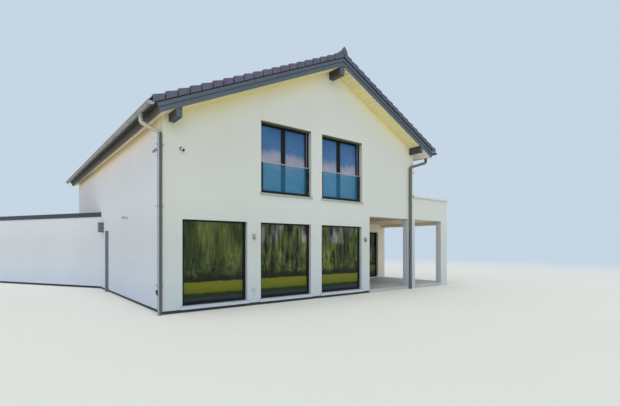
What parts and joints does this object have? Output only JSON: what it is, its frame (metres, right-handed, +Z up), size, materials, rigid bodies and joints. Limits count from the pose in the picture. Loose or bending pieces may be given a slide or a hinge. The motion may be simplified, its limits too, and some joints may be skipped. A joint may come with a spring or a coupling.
{
  "type": "modern detached house",
  "caption": "Two storey house with a low pitched gable roof, large dark framed windows, glass guarded upper windows and a covered corner terrace.",
  "frame": {"origin": "bottom centre of the whole house, at ground level", "axes": "+X along the gable front to the right, +Y from the front into the depth, +Z up"},
  "size_m": [14.8248, 13.716, 7.684],
  "materials": {
    "white_render": "fine rendered, matt",
    "white_ceiling": "smooth plaster, matt",
    "plinth_grey": "sealed plinth coat, matt",
    "screed": "matt",
    "stone_slabs": "honed slabs, matt",
    "light_metal": "powder coated, satin",
    "anthracite_wood": "painted, satin",
    "white_boards": "painted boards, matt",
    "roof_tile": "engobed tile, satin",
    "grey_board": "painted boards, satin",
    "zinc": "weathered zinc sheet, satin",
    "anthracite_frame": "powder coated, satin",
    "window_glass": "polished",
    "guard_glass": "polished",
    "stainless": "brushed",
    "roof_membrane": "matt membrane",
    "anthracite_metal": "powder coated, satin",
    "dark_fitting": "powder coated, satin",
    "white_fitting": "satin",
    "grey_plastic": "matt"
  },
  "bodies": {
    "root": {"plinth": "plinth_grey", "ground_floor": "screed", "front_wall": "white_render", "front_gable_wall": "white_render", "back_wall": "white_render", "left_wall": "white_render", "right_wall": "white_render", "upper_floor": "white_ceiling", "terrace_side_wall": "white_render", "terrace_back_wall": "white_render", "terrace_floor": "stone_slabs", "corner_column": "white_render", "wing_column": "white_render", "wing_side_wall": "white_render", "wing_rear_wall": "white_render", "wing_parapet": "white_render", "wing_roof": "white_ceiling", "wing_coping": "light_metal", "screen_box": "light_metal", "purlins": "anthracite_wood", "left_roof_deck": "white_boards", "right_roof_deck": "white_boards", "left_roof_tiles": "roof_tile", "right_roof_tiles": "roof_tile", "ridge_caps": "roof_tile", "front_verge_boards": "grey_board", "back_verge_boards": "grey_board", "eave_fascias": "grey_board", "gutters": "zinc", "downpipes": "zinc", "ground_window_frames": "anthracite_frame", "ground_window_glass": "window_glass", "window_sills": "light_metal", "upper_window_frames": "anthracite_frame", "upper_window_glass": "window_glass", "blind_guides": "anthracite_frame", "balustrade_rails": "stainless", "balustrade_panes": "guard_glass", "terrace_door_frame": "anthracite_frame", "terrace_door_glass": "window_glass", "wedge_walls": "white_render", "wedge_roof": "roof_membrane", "wedge_fascia": "anthracite_metal", "wall_lights": "dark_fitting", "cameras": "white_fitting", "vent_box": "grey_plastic", "riser_pipe": "grey_plastic"}
  },
  "joints": []
}
